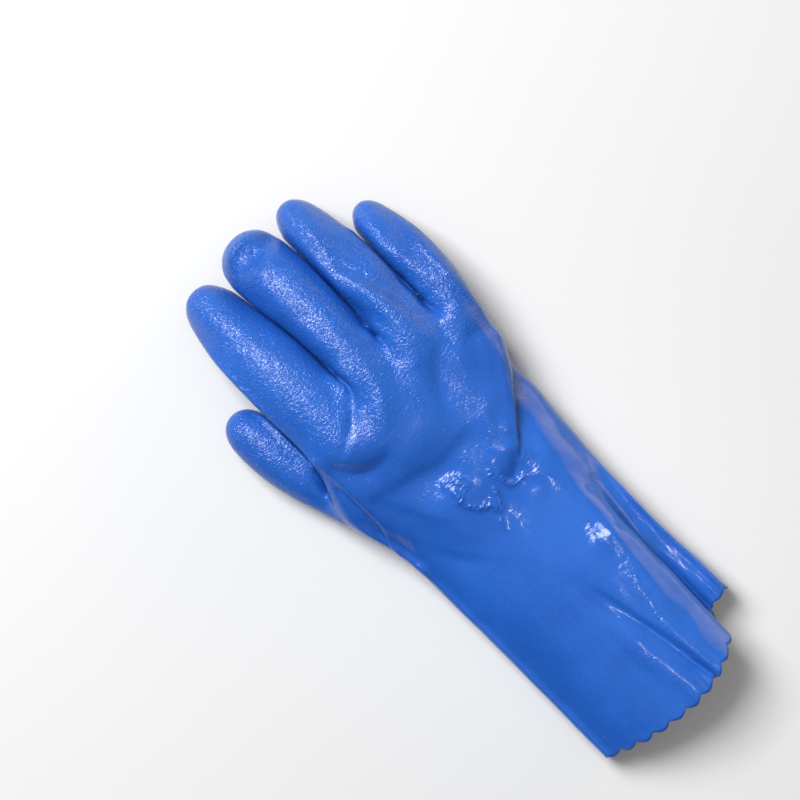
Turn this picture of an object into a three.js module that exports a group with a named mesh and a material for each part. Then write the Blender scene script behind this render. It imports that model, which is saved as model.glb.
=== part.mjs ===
// Household rubber glove for the right hand, lying on its palm side: one dipped shell of soft PVC with five
// digits, a hand, and a straight cuff whose rim is pinked. It is hollow and open at the cuff.
// Frame: X to the little-finger side, Y to the fingertips, Z up from the surface it lies on. Millimetres.
import * as THREE from "three";

const WALL = 1.3; // thickness of the dipped wall
const CREASE_STRETCH = 2; // largest distance between the skins at a crease, in walls
const HALF = 26; // columns of the trunk over the back, and as many under the palm
const ROUND = 16; // columns round a digit
const DIGIT_RINGS = 8; // rings of a digit up to the start of its round end
const THUMB_LEAD = 2; // rings between the hand and the thumb's own first ring
const CREST_SHARE = 16 / HALF; // column of the cuff's crest, as a share of the back's
const VALLEY_SHARE = 20 / HALF; // column of the valley's bottom
const CREST_NEAR = 34; // place across the glove where the long fold is looked up
const PINKS = 26; // teeth round the rim, about 11 mm apart
const PINK_DEEP = 1.8; // height of a tooth
const RIM_STEPS = 4; // steps of the rim for each column of the trunk
const RIM_BAND = 9; // height of the band that carries the teeth
const DENSE = 240; // steps of a section's outline before it is shared out evenly
const FOLD_STEPS = 24; // steps of a fold's line
const LIP_AWAY = 2; // distance of a lip from its groove, in half widths of the groove
const LIP_WIDE = 1.4; // half width of a lip, in half widths of the groove
const BLEND_PASSES = 3; // times that the roots of the digits are smoothed into the hand
const BLEND_REACH = 3; // rings on each side of a root that the smoothing reaches

// The trunk is the tube of cuff, wrist and palm. y: place along the glove. left, right: its side edges, at the
// heights leftZ and rightZ. backL, backR: heights of the back's plane at the two sides, and palmL, palmR of the
// palm's. riseL, riseR: widths over which the back climbs from an edge. under: the same below. crest, valley:
// where the long fold of the cuff has its ridge and its bottom. hold: how firmly the columns keep to them.
const TRUNK = [
  { y: -170, left: -54.0, right: 52.0, leftZ: 6, rightZ: 8, backL: 38, backR: 39, palmL: 0, palmR: 0, riseL: 58, riseR: 15, under: 10, crest: 29, valley: 38.0, hold: 1 },
  { y: -110, left: -53.0, right: 49.5, leftZ: 6, rightZ: 8, backL: 38, backR: 38, palmL: 0, palmR: 0, riseL: 55, riseR: 18, under: 10, crest: 31, valley: 38.5, hold: 1 },
  { y: -60, left: -53.0, right: 49.8, leftZ: 7, rightZ: 9, backL: 37, backR: 37, palmL: 0, palmR: 0, riseL: 51, riseR: 24, under: 12, crest: 33, valley: 41.0, hold: 0.6 },
  { y: -25, left: -54.5, right: 51.5, leftZ: 8, rightZ: 12, backL: 38, backR: 38, palmL: 0, palmR: 0, riseL: 46, riseR: 30, under: 14, crest: 34, valley: 44.0, hold: 0 },
  { y: 0, left: -60.0, right: 54.0, leftZ: 11, rightZ: 15, backL: 42, backR: 41, palmL: 0, palmR: 0, riseL: 44, riseR: 30, under: 16, crest: 34, valley: 44.0, hold: 0 },
  { y: 22, left: -64.0, right: 57.0, leftZ: 15, rightZ: 18, backL: 47, backR: 43, palmL: 0, palmR: 2, riseL: 38, riseR: 30, under: 18, crest: 34, valley: 44.0, hold: 0 },
  { y: 43, left: -55.5, right: 62.0, leftZ: 34, rightZ: 21, backL: 51, backR: 45, palmL: 17, palmR: 7, riseL: 26, riseR: 28, under: 14, crest: 34, valley: 44.0, hold: 0 },
  { y: 54, left: -53.0, right: 64.5, leftZ: 36, rightZ: 23, backL: 52, backR: 46, palmL: 19, palmR: 11, riseL: 24, riseR: 26, under: 14, crest: 34, valley: 44.0, hold: 0 },
];
const TRUNK_START = -146; // the trunk's first ring, at the head of the rim's band
const TRUNK_END = 52; // its last ring, behind the knuckles
const TRUNK_ROWS = 29;

// Where the rim lies, from the thumb side to the little-finger side, before it is pinked
const RIM = [
  { x: -54, y: -157 },
  { x: -32, y: -164 },
  { x: -5, y: -166 },
  { x: 18, y: -164 },
  { x: 36, y: -152 },
  { x: 52, y: -139 },
];

// The digits. x, y, z: the middle of a section. wide, deep: its half width and half depth.
// dome: length of the round end past the last section.
const DIGITS = {
  index: {
    dome: 17,
    rows: [
      { x: -33.2, y: 62, z: 35.0, wide: 19.3, deep: 15.0 },
      { x: -33.8, y: 82, z: 34.3, wide: 18.8, deep: 15.0 },
      { x: -34.3, y: 102, z: 30.5, wide: 18.4, deep: 14.7 },
      { x: -35.2, y: 121, z: 23.2, wide: 16.6, deep: 14.0 },
      { x: -35.2, y: 137, z: 14.0, wide: 14.2, deep: 12.6 },
    ],
  },
  middle: {
    dome: 15,
    rows: [
      { x: 0.4, y: 67, z: 36.0, wide: 13.6, deep: 15.0 },
      { x: 0.2, y: 87, z: 35.2, wide: 14.3, deep: 14.8 },
      { x: -0.1, y: 107, z: 32.0, wide: 15.1, deep: 14.5 },
      { x: -1.5, y: 127, z: 24.8, wide: 16.7, deep: 13.8 },
      { x: -3.0, y: 145, z: 14.0, wide: 16.6, deep: 12.6 },
    ],
  },
  ring: {
    dome: 15,
    rows: [
      { x: 28.6, y: 72, z: 34.0, wide: 13.6, deep: 14.5 },
      { x: 29.3, y: 91, z: 33.0, wide: 13.5, deep: 14.0 },
      { x: 29.6, y: 110, z: 29.3, wide: 12.9, deep: 13.5 },
      { x: 29.0, y: 127, z: 22.5, wide: 12.4, deep: 13.0 },
      { x: 27.7, y: 140, z: 14.3, wide: 11.3, deep: 12.0 },
    ],
  },
  little: {
    dome: 13,
    rows: [
      { x: 54.3, y: 60, z: 29.5, wide: 11.5, deep: 13.0 },
      { x: 55.4, y: 75, z: 28.7, wide: 11.8, deep: 12.8 },
      { x: 55.8, y: 90, z: 25.4, wide: 11.7, deep: 12.2 },
      { x: 55.1, y: 104, z: 20.0, wide: 10.9, deep: 11.4 },
      { x: 54.4, y: 115, z: 13.5, wide: 9.4, deep: 10.4 },
    ],
  },
  thumb: {
    dome: 15,
    rows: [
      { x: -60.5, y: 46, z: 12.8, wide: 13.4, deep: 12.8 },
      { x: -62.5, y: 58, z: 12.8, wide: 13.6, deep: 12.8 },
      { x: -64.0, y: 70, z: 12.8, wide: 13.4, deep: 12.8 },
      { x: -65.0, y: 82, z: 12.0, wide: 12.4, deep: 12.0 },
    ],
  },
};
const FINGERS = ["index", "middle", "ring", "little"];

// Folds of the back, drawn in plan. path: points of the line. wide: half width of the groove. deep: its depth at
// the start, the middle and the end, where a minus sign makes a ridge. lip: height of a lip on the line's left.
const BACK_FOLDS = {
  cuff_valley: { path: [[38, -176], [38.5, -125], [39, -85], [45, -38]], wide: 5.5, deep: [24, 19, 0], lip: 0 },
  cuff_crest: { path: [[28, -176], [31, -110], [35, -60], [40, -20]], wide: 7, deep: [-5, -4, -1], lip: 0 },
  cuff_crease: { path: [[0, -90], [5, -115], [14, -168]], wide: 4, deep: [0, 3, 5], lip: 2.5 },
  wrist_step: { path: [[12, -27], [26, -21], [40, -5], [60, 24]], wide: 6.5, deep: [3, 9, 8], lip: 5 },
  wrist_hollow: { path: [[-42, 18], [-20, 7], [8, 9]], wide: 9, deep: [2, 4, 0], lip: 0 },
  cuff_hollow: { path: [[-44, 8], [-38, -22], [-22, -48]], wide: 9, deep: [2, 3, 0], lip: 0 },
  thumb_crease: { path: [[-57, -14], [-54.5, 8], [-54, 34]], wide: 2.5, deep: [1, 4, 2], lip: 0 },
  index_hollow: { path: [[-49, 40], [-38, 30], [-24, 29]], wide: 6, deep: [2, 5, 1], lip: 0 },
  index_groove: { path: [[-13.5, 72], [-15, 52], [-34, 40]], wide: 4.5, deep: [6, 4, 1], lip: 0 },
  middle_ridge: { path: [[-3, 100], [-4, 58], [-22, 36]], wide: 7, deep: [0, -3, -2], lip: 0 },
  middle_web: { path: [[14.5, 76], [16, 62], [22, 56]], wide: 5.5, deep: [6, 5, 2], lip: 0 },
  ring_ridge: { path: [[23, 136], [20, 110], [27, 84], [28, 60], [16, 48]], wide: 6, deep: [-1, -3, -2], lip: 0 },
  ring_web: { path: [[43, 74], [42.5, 58], [37, 44]], wide: 5.5, deep: [6, 6, 2], lip: 0 },
  ring_hollow: { path: [[34, 130], [36, 108], [36, 88]], wide: 6, deep: [1, 3, 1], lip: 0 },
  tip_dent: { path: [[-11, 149], [-2, 150], [7, 149.5]], wide: 4.5, deep: [1, 2.5, 1], lip: 0 },
  back_hollow: { path: [[30, 50], [22, 38], [12, 22]], wide: 8, deep: [2, 4, 1], lip: 0 },
};
// Folds of the palm side, drawn in plan in the same way. Deep is up into the hand.
const PALM_FOLDS = {
  palm_hollow: { path: [[-18, 10], [0, 30], [30, 38]], wide: 16, deep: [2, 7, 2], lip: 0 },
  thumb_line: { path: [[-8, -2], [-18, 22], [-30, 40]], wide: 5, deep: [0, 4, 3], lip: 0 },
};

const clamp = THREE.MathUtils.clamp;
const mix = THREE.MathUtils.lerp;

// Reads a table at any station, each named column being a smooth curve through its rows.
function tableReader(rows, stations) {
  const names = Object.keys(rows[0]);
  const values = rows.flatMap((row) => names.map((name) => row[name]));
  const curve = new THREE.CubicInterpolant(stations, values, names.length);
  return (station) => {
    const found = curve.evaluate(station);
    return Object.fromEntries(names.map((name, i) => [name, found[i]]));
  };
}

const trunkAt = tableReader(TRUNK, TRUNK.map((row) => row.y));
const rimAt = tableReader(RIM, RIM.map((row) => row.x));

// Height that one fold adds at a point of the plan: a groove along its line, and a lip on the line's left.
function foldHeight({ line, wide, deep, lip }, x, y) {
  let nearest = Infinity;
  let along = 0;
  let across = 0;
  for (let i = 0; i < FOLD_STEPS; i++) {
    const step = line[i + 1].clone().sub(line[i]);
    const offset = new THREE.Vector2(x, y).sub(line[i]);
    const share = clamp(offset.dot(step) / step.lengthSq(), 0, 1);
    const aside = step.cross(offset) / step.length();
    const distance = offset.addScaledVector(step, -share).length();
    if (distance < nearest) {
      nearest = distance;
      along = (i + share) / FOLD_STEPS;
      across = aside;
    }
  }
  const depth = along < 0.5 ? mix(deep[0], deep[1], 2 * along) : mix(deep[1], deep[2], 2 * along - 1);
  const strength = depth / Math.max(...deep.map(Math.abs));
  const groove = Math.exp(-((nearest / wide) ** 2));
  const past = nearest ** 2 - across ** 2;
  const raised = Math.exp(-(((across - LIP_AWAY * wide) ** 2 + past) / (LIP_WIDE * wide) ** 2));
  return lip * strength * raised - depth * groove;
}

// Height that a set of folds adds at a point of the plan.
function foldsOf(table) {
  const folds = Object.values(table).map((fold) => ({
    ...fold,
    line: new THREE.SplineCurve(fold.path.map(([x, y]) => new THREE.Vector2(x, y))).getPoints(FOLD_STEPS),
  }));
  return (x, y) => folds.reduce((sum, fold) => sum + foldHeight(fold, x, y), 0);
}

const backFold = foldsOf(BACK_FOLDS);
const palmFold = foldsOf(PALM_FOLDS);

// Lengths of a line of points from its start.
function reachOf(line) {
  const reach = [0];
  for (let i = 1; i < line.length; i++) reach.push(reach[i - 1] + line[i].distanceTo(line[i - 1]));
  return reach;
}

// Shares a line of points out into steps that are equal within each stretch. The stretches end at shares of
// the steps, and these ends lie at given shares of the line's length.
function evenly(line, stepShares, steps, lengthShares) {
  const reach = reachOf(line);
  const shared = [];
  let i = 0;
  for (let n = 0; n <= steps; n++) {
    const step = n / steps;
    const stretch = stepShares.findIndex((end) => step <= end);
    const stepStart = stepShares[stretch - 1] ?? 0;
    const lengthStart = lengthShares[stretch - 1] ?? 0;
    const within = (step - stepStart) / (stepShares[stretch] - stepStart);
    const wanted = reach.at(-1) * mix(lengthStart, lengthShares[stretch], within);
    while (i < line.length - 2 && reach[i + 1] < wanted) i++;
    const share = clamp((wanted - reach[i]) / (reach[i + 1] - reach[i]), 0, 1);
    shared.push(line[i].clone().lerp(line[i + 1], share));
  }
  return shared;
}

// How far a side has climbed, 0 at the edge and 1 where it is full, as a quarter of an ellipse.
function climb(distance, width) {
  const left = 1 - clamp(distance / width, 0, 1);
  return Math.sqrt(1 - left * left);
}

// One ring of the trunk. It starts at the thumb-side edge, runs over the back, and returns under the palm.
// placeAt gives the place along the glove for an x.
function trunkRing(placeAt, halfSteps) {
  const back = [];
  const palm = [];
  for (let i = 0; i <= DENSE; i++) {
    const share = (1 - Math.cos((Math.PI * i) / DENSE)) / 2;
    const middle = trunkAt(placeAt(0));
    const x = mix(middle.left, middle.right, share);
    const y = placeAt(x);
    const row = trunkAt(y);
    const edgeZ = mix(row.leftZ, row.rightZ, share);
    const fromLeft = share * (row.right - row.left);
    const fromRight = (1 - share) * (row.right - row.left);
    const rise = climb(fromLeft, row.riseL) * climb(fromRight, row.riseR);
    const drop = climb(fromLeft, row.under) * climb(fromRight, row.under);
    const backZ = mix(row.backL, row.backR, share) + backFold(x, y);
    const palmZ = mix(row.palmL, row.palmR, share) + palmFold(x, y);
    back.push(new THREE.Vector3(x, y, mix(edgeZ, backZ, rise)));
    palm.push(new THREE.Vector3(x, y, mix(edgeZ, palmZ, drop)));
  }
  const over = evenly(back, [CREST_SHARE, VALLEY_SHARE, 1], halfSteps, heldAt(back, placeAt));
  const under = evenly(palm.reverse(), [1], halfSteps, [1]);
  return [...over.slice(0, -1), ...under.slice(0, -1)];
}

// How far along the back's outline, from 0 to 1, the columns at the crest and the valley lie.
function heldAt(back, placeAt) {
  const reach = reachOf(back);
  const row = trunkAt(placeAt(CREST_NEAR));
  const at = (x) => reach[back.findIndex((point) => point.x >= x)] / reach.at(-1);
  return [mix(CREST_SHARE, at(row.crest), row.hold), mix(VALLEY_SHARE, at(row.valley), row.hold), 1];
}

// The frame of a digit's section: its middle, its direction, and its two half sizes as vectors.
function sectionFrame(sizes, direction) {
  const side = new THREE.Vector3().crossVectors(direction, new THREE.Vector3(0, 0, 1)).normalize();
  const up = new THREE.Vector3().crossVectors(side, direction);
  return {
    middle: new THREE.Vector3(sizes.x, sizes.y, sizes.z),
    direction,
    wide: side.multiplyScalar(sizes.wide),
    deep: up.multiplyScalar(sizes.deep),
  };
}

// A point of a digit: across and over are in half widths and half depths, ahead is along the digit.
function digitPoint(frame, across, over, ahead) {
  const point = frame.middle.clone();
  point.addScaledVector(frame.wide, across);
  point.addScaledVector(frame.deep, over);
  point.addScaledVector(frame.direction, ahead);
  const upness = Math.max(0, over);
  point.z += backFold(point.x, point.y) * Math.sqrt(upness);
  return point;
}

// A ring of a digit, from its left side over the top. shrink narrows it and ahead moves it on, for the end.
function digitRing(frame, shrink = 1, ahead = 0) {
  return Array.from({ length: ROUND }, (_, k) => {
    const turn = Math.PI - (2 * Math.PI * k) / ROUND;
    return digitPoint(frame, shrink * Math.cos(turn), shrink * Math.sin(turn), ahead);
  });
}

// The rings of a digit, and the frame of its round end.
function digitRings({ rows, dome }) {
  const stations = [0];
  for (let i = 1; i < rows.length; i++) {
    const step = Math.hypot(rows[i].x - rows[i - 1].x, rows[i].y - rows[i - 1].y, rows[i].z - rows[i - 1].z);
    stations.push(stations[i - 1] + step);
  }
  const at = tableReader(rows, stations);
  const frameAt = (station) => {
    const before = at(Math.max(station - 1, 0));
    const after = at(Math.min(station + 1, stations.at(-1)));
    const direction = new THREE.Vector3(after.x - before.x, after.y - before.y, after.z - before.z);
    return sectionFrame(at(station), direction.normalize());
  };
  const end = frameAt(stations.at(-1));
  const rings = [];
  for (let i = 0; i < DIGIT_RINGS; i++) {
    rings.push(digitRing(frameAt((stations.at(-1) * i) / (DIGIT_RINGS - 1))));
  }
  for (const polar of DOME_ANGLES) {
    rings.push(digitRing(end, Math.sin(polar), dome * Math.cos(polar)));
  }
  return { rings, end, dome };
}

const DOME_ANGLES = [65, 40].map(THREE.MathUtils.degToRad); // rings of the round end, from its axis

// The skin: a list of points, and of four-cornered or three-cornered faces that turn outwards.
const points = [];
const faces = [];

function addPoints(list) {
  return list.map((point) => points.push(point) - 1);
}

// Joins two rings of equal length, the second further on, with a face for each step except those left out.
function joinRings(near, far, isOpen = () => false) {
  near.forEach((_, k) => {
    const next = (k + 1) % near.length;
    if (!isOpen(k)) faces.push([near[k], near[next], far[next], far[k]]);
  });
}

// Closes a digit with a square grid of faces, so that no point gathers all the edges.
function closeDigit(last, { end, dome }) {
  const side = ROUND / 4;
  const grid = Array.from({ length: side + 1 }, () => []);
  const polar = DOME_ANGLES.at(-1);
  for (let i = 0; i <= side; i++) {
    for (let j = 0; j <= side; j++) {
      const onEdge = ringIndexOfGrid(i, j, side);
      if (onEdge !== null) {
        grid[i][j] = last[onEdge];
        continue;
      }
      const across = (2 * i) / side - 1;
      const over = (2 * j) / side - 1;
      const a = across * Math.sqrt(1 - (over * over) / 2);
      const b = over * Math.sqrt(1 - (across * across) / 2);
      const radius = Math.hypot(a, b);
      const spread = radius > 0 ? Math.sin(radius * polar) / radius : 1;
      const point = digitPoint(end, a * spread, b * spread, dome * Math.cos(radius * polar));
      [grid[i][j]] = addPoints([point]);
    }
  }
  for (let i = 0; i < side; i++) {
    for (let j = 0; j < side; j++) {
      faces.push([grid[i][j], grid[i][j + 1], grid[i + 1][j + 1], grid[i + 1][j]]);
    }
  }
}

// The ring's index of a point on the edge of the closing grid, or null inside it.
function ringIndexOfGrid(i, j, side) {
  const first = side / 2;
  if (j === side) return first + i;
  if (i === side) return first + side + (side - j);
  if (j === 0) return first + 2 * side + (side - i);
  if (i === 0) return (first + 3 * side + j) % ROUND;
  return null;
}

// The trunk's rings. Near the mouth they lean over to follow the rim.
const trunkPlaces = Array.from({ length: TRUNK_ROWS }, (_, i) =>
  mix(TRUNK_START, TRUNK_END, i / (TRUNK_ROWS - 1)),
);
const rimMiddle = rimAt(0).y;
function leaning(place) {
  const lean = 1 - clamp((place - TRUNK_START) / 60, 0, 1);
  return (x) => place + lean * (rimAt(x).y - rimMiddle);
}
const trunk = trunkPlaces.map((place) => addPoints(trunkRing(leaning(place), HALF)));

// The rim: a finer ring whose points rise and fall in teeth
const rimOuter = trunkRing((x) => rimAt(x).y, HALF * RIM_STEPS);
rimOuter.forEach((point, i) => {
  const phase = (2 * Math.PI * PINKS * i) / rimOuter.length;
  point.y += (PINK_DEEP / 2) * Math.sin(phase);
});
const rim = addPoints(rimOuter);
trunk[0].forEach((start, k) => {
  const next = trunk[0][(k + 1) % trunk[0].length];
  const edge = Array.from({ length: RIM_STEPS + 1 }, (_, i) => rim[(k * RIM_STEPS + i) % rim.length]);
  const half = RIM_STEPS / 2;
  for (let i = 0; i < half; i++) faces.push([edge[i], edge[i + 1], start]);
  faces.push([edge[half], next, start]);
  for (let i = half; i < RIM_STEPS; i++) faces.push([edge[i], edge[i + 1], next]);
});

// The fingers. Two neighbours share the three points of the web between them, halfway between their rings.
const fingers = FINGERS.map((name) => digitRings(DIGITS[name]));
const WEB_RIGHT = [7, 8, 9]; // the ring's columns at a finger's right web, from the back to the palm
const WEB_LEFT = [1, 0, 15];
const fingerRoots = [];
fingers.forEach((finger, f) => {
  const ownRing = finger.rings[0];
  if (f === 0) {
    fingerRoots.push(addPoints(ownRing));
    return;
  }
  const root = Array(ROUND).fill(null);
  WEB_LEFT.forEach((column, i) => {
    root[column] = fingerRoots[f - 1][WEB_RIGHT[i]];
    points[root[column]].lerp(ownRing[column], 0.5);
  });
  fingerRoots.push(root.map((shared, k) => shared ?? addPoints([ownRing[k]])[0]));
});
fingers.forEach((finger, f) => {
  const rings = [fingerRoots[f], ...finger.rings.slice(1).map(addPoints)];
  for (let i = 0; i + 1 < rings.length; i++) joinRings(rings[i], rings[i + 1]);
  closeDigit(rings.at(-1), finger);
});

// The knuckles: the fingers' roots make the trunk's last ring, over the back and then back under the palm.
const lastFinger = fingerRoots.length - 1;
const knuckles = [fingerRoots[0][0]];
fingerRoots.forEach((root, f) => {
  const end = f === lastFinger ? WEB_RIGHT[1] : WEB_RIGHT[0];
  for (let k = f === 0 ? 1 : 2; k <= end; k++) knuckles.push(root[k]);
});
for (let f = lastFinger; f >= 0; f--) {
  const start = f === lastFinger ? WEB_RIGHT[2] : WEB_RIGHT[2] + 1;
  for (let k = start; k < ROUND; k++) knuckles.push(fingerRoots[f][k]);
}

// The thumb leaves the trunk through an opening of four rows and four columns at its lower left.
const THUMB_ROW = 21;
const THUMB_SPAN = ROUND / 4;
const THUMB_COLUMN = 2 * HALF - THUMB_SPAN;
const isThumbOpening = (row, k) => row >= THUMB_ROW && row < THUMB_ROW + THUMB_SPAN && k >= THUMB_COLUMN;
for (let row = 0; row + 1 < TRUNK_ROWS; row++) {
  joinRings(trunk[row], trunk[row + 1], (k) => isThumbOpening(row, k));
}
joinRings(trunk.at(-1), knuckles);

const thumbRoot = Array.from({ length: ROUND }, (_, k) => {
  const side = Math.floor(k / THUMB_SPAN);
  const step = k % THUMB_SPAN;
  const nearRow = trunk[THUMB_ROW];
  const farRow = trunk[THUMB_ROW + THUMB_SPAN];
  if (side === 0) return trunk[THUMB_ROW + step][0];
  if (side === 1) return farRow[(2 * HALF - step) % (2 * HALF)];
  if (side === 2) return trunk[THUMB_ROW + THUMB_SPAN - step][THUMB_COLUMN];
  return nearRow[THUMB_COLUMN + step];
});
const thumb = digitRings(DIGITS.thumb);
const lead = Array.from({ length: THUMB_LEAD }, (_, i) => {
  const share = (i + 1) / (THUMB_LEAD + 1);
  return addPoints(thumb.rings[0].map((point, k) => points[thumbRoot[k]].clone().lerp(point, share)));
});
const thumbRings = [thumbRoot, ...lead, ...thumb.rings.map(addPoints)];
for (let i = 0; i + 1 < thumbRings.length; i++) joinRings(thumbRings[i], thumbRings[i + 1]);
closeDigit(thumbRings.at(-1), thumb);

// Smooths the roots of the digits into the hand, most at the roots and less with each ring away from them.
function blendRoots() {
  const neighbours = points.map(() => new Set());
  for (const face of faces) {
    face.forEach((a, i) => {
      const b = face[(i + 1) % face.length];
      neighbours[a].add(b);
      neighbours[b].add(a);
    });
  }
  const reach = new Map([...fingerRoots.flat(), ...thumbRoot, ...lead.flat()].map((i) => [i, 0]));
  for (let ring = 1; ring <= BLEND_REACH; ring++) {
    for (const i of [...reach.keys()]) {
      for (const near of neighbours[i]) if (!reach.has(near)) reach.set(near, ring);
    }
  }
  for (let pass = 0; pass < BLEND_PASSES; pass++) {
    const moved = new Map();
    for (const [i, ring] of reach) {
      const average = new THREE.Vector3();
      for (const near of neighbours[i]) average.add(points[near]);
      average.divideScalar(neighbours[i].size);
      moved.set(i, points[i].clone().lerp(average, 0.5 * (1 - ring / (BLEND_REACH + 1))));
    }
    for (const [i, point] of moved) points[i].copy(point);
  }
}
blendRoots();
for (const point of points) point.z = Math.max(point.z, 0);

// Splits a face along its shorter diagonal.
function triangles(face) {
  if (face.length === 3) return [face];
  const [a, b, c, d] = face;
  const first = points[a].distanceTo(points[c]);
  const second = points[b].distanceTo(points[d]);
  if (first <= second) return [[a, b, c], [a, c, d]];
  return [[a, b, d], [b, c, d]];
}

// The corners of a face: the point, the face's normal and the angle there.
function cornersOf(face) {
  const [a, b, c] = face.map((i) => points[i]);
  const normal = new THREE.Triangle(a, b, c).getNormal(new THREE.Vector3());
  return face.map((index, i) => {
    const before = points[face[(i + 2) % 3]].clone().sub(points[index]);
    const after = points[face[(i + 1) % 3]].clone().sub(points[index]);
    return { index, normal, angle: before.angleTo(after) };
  });
}

// The points of the inner skin. Each lies one wall behind its outer point, and further behind a crease, so that
// the wall keeps its thickness there.
function innerPoints(outer) {
  const corners = outer.flatMap(cornersOf);
  const normals = points.map(() => new THREE.Vector3());
  for (const { index, normal, angle } of corners) normals[index].addScaledVector(normal, angle);
  for (const normal of normals) normal.normalize();
  const angles = points.map(() => 0);
  const facing = points.map(() => 0);
  for (const { index, normal, angle } of corners) {
    angles[index] += angle;
    facing[index] += angle * normals[index].dot(normal);
  }
  return points.map((point, i) => {
    const stretch = Math.min(angles[i] / facing[i], CREASE_STRETCH);
    return point.clone().addScaledVector(normals[i], -WALL * stretch);
  });
}

// Drops the points that no face uses, such as those inside the thumb's opening.
function dropSpares() {
  const used = [...new Set(faces.flat())];
  const place = new Map(used.map((old, i) => [old, i]));
  const kept = used.map((old) => points[old]);
  points.splice(0, points.length, ...kept);
  for (const face of faces) face.forEach((old, i) => (face[i] = place.get(old)));
  rim.forEach((old, i) => (rim[i] = place.get(old)));
}
dropSpares();

// The shell: the skin, the same skin one wall further in and turned over, and the rim between them.
function shellGeometry() {
  const outer = faces.flatMap(triangles);
  const shift = points.length;
  const lining = outer.map(([a, b, c]) => [a + shift, c + shift, b + shift]);
  const edge = rim.flatMap((a, i) => {
    const b = rim[(i + 1) % rim.length];
    return [[a, a + shift, b], [b, a + shift, b + shift]];
  });
  const shell = new THREE.BufferGeometry().setFromPoints([...points, ...innerPoints(outer)]);
  shell.setIndex([...outer, ...lining, ...edge].flat());
  shell.computeVertexNormals();
  return shell;
}

const pvc = new THREE.MeshStandardMaterial({ color: 0x2f6ed6, roughness: 0.35, metalness: 0 });
const shell = new THREE.Mesh(shellGeometry(), pvc);
shell.name = "glove_shell";

// The origin is the middle of the footprint, on the surface that the glove lies on.
const glove = new THREE.Group();
glove.add(shell);
const bounds = new THREE.Box3().setFromObject(shell);
const centre = bounds.getCenter(new THREE.Vector3());
shell.position.set(-centre.x, -centre.y, -bounds.min.z);

export default glove;
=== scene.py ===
import bmesh
import bpy
import numpy as np
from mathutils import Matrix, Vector, noise


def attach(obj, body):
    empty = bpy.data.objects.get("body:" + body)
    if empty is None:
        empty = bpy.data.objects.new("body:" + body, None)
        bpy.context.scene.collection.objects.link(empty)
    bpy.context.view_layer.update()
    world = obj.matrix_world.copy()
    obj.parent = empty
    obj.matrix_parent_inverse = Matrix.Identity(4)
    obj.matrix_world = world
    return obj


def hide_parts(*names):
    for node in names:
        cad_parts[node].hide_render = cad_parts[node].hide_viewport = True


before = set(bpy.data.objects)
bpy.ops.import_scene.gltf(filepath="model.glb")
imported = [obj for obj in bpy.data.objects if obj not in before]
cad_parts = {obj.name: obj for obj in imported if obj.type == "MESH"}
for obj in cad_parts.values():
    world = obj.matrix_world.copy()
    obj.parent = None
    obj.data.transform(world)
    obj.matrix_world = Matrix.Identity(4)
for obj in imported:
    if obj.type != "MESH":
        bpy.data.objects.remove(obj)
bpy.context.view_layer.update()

# The dipped shell. The real glove is one skin of soft PVC, made by dipping a hand-shaped former, so it has no
# seam anywhere. The solid's outer skin is taken as a cage of quads, and its cut rim is opened.
MM = 0.001
SKIN_EDGE = np.radians(50)  # the outer skin ends at edges sharper than this
CAGE_MERGE = 0.002 * MM
cad_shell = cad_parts["glove_shell"]

skin = bmesh.new()
skin.from_mesh(cad_shell.data)
bmesh.ops.remove_doubles(skin, verts=skin.verts, dist=CAGE_MERGE)

# The outer skin is what can be reached from the longest fingertip without crossing the cut edge of the rim.
start = max(skin.faces, key=lambda face: face.calc_center_median().y)
outside = {start}
waiting = [start]
while waiting:
    for edge in waiting.pop().edges:
        if edge.calc_face_angle(0) > SKIN_EDGE:
            continue
        for face in edge.link_faces:
            if face not in outside:
                outside.add(face)
                waiting.append(face)
bmesh.ops.delete(skin, geom=[face for face in skin.faces if face not in outside], context="FACES")

# The solid's toothed band comes off, which leaves the plain ring at its head.
band = [face for face in skin.faces if any(vert.is_boundary for vert in face.verts)]
bmesh.ops.delete(skin, geom=band, context="FACES")
bmesh.ops.join_triangles(
    skin,
    faces=skin.faces,
    angle_face_threshold=np.pi,
    angle_shape_threshold=np.pi,
)

# The rim's band. The mouth of the cuff is cut in one sweep that runs further out in the middle. The new band
# is extruded from the ring, with twice as many columns after its first row. A row covers a share of the rest.
DRAWN_AT = np.array((5.04, 3.87))  # mm: where the drawing of the folds has its origin in the glove's frame
RIM_LINE = {
    "across": (-54, -43, -32, -18, -5, 8, 18, 28, 33, 37, 44, 52),
    "along": (-157, -161, -164, -166, -167, -166.5, -164, -159, -154, -142, -139.5, -139.5),
}
BAND_ROWS = {"first": 0.35, "second": 0.5, "last": 1.0}


def rim_at(across):
    drawn = across / MM - DRAWN_AT[0]
    return (np.interp(drawn, RIM_LINE["across"], RIM_LINE["along"]) + DRAWN_AT[1]) * MM


def rim_edges():
    return [edge for edge in skin.edges if edge.is_boundary]


def extend_band(share):
    for grown in bmesh.ops.extrude_edge_only(skin, edges=rim_edges())["geom"]:
        if isinstance(grown, bmesh.types.BMVert):
            grown.co.y += share * (rim_at(grown.co.x) - grown.co.y)


extend_band(BAND_ROWS["first"])
bmesh.ops.subdivide_edges(skin, edges=rim_edges(), cuts=1)
extend_band(BAND_ROWS["second"])
extend_band(BAND_ROWS["last"])
bmesh.ops.recalc_face_normals(skin, faces=skin.faces)

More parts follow.
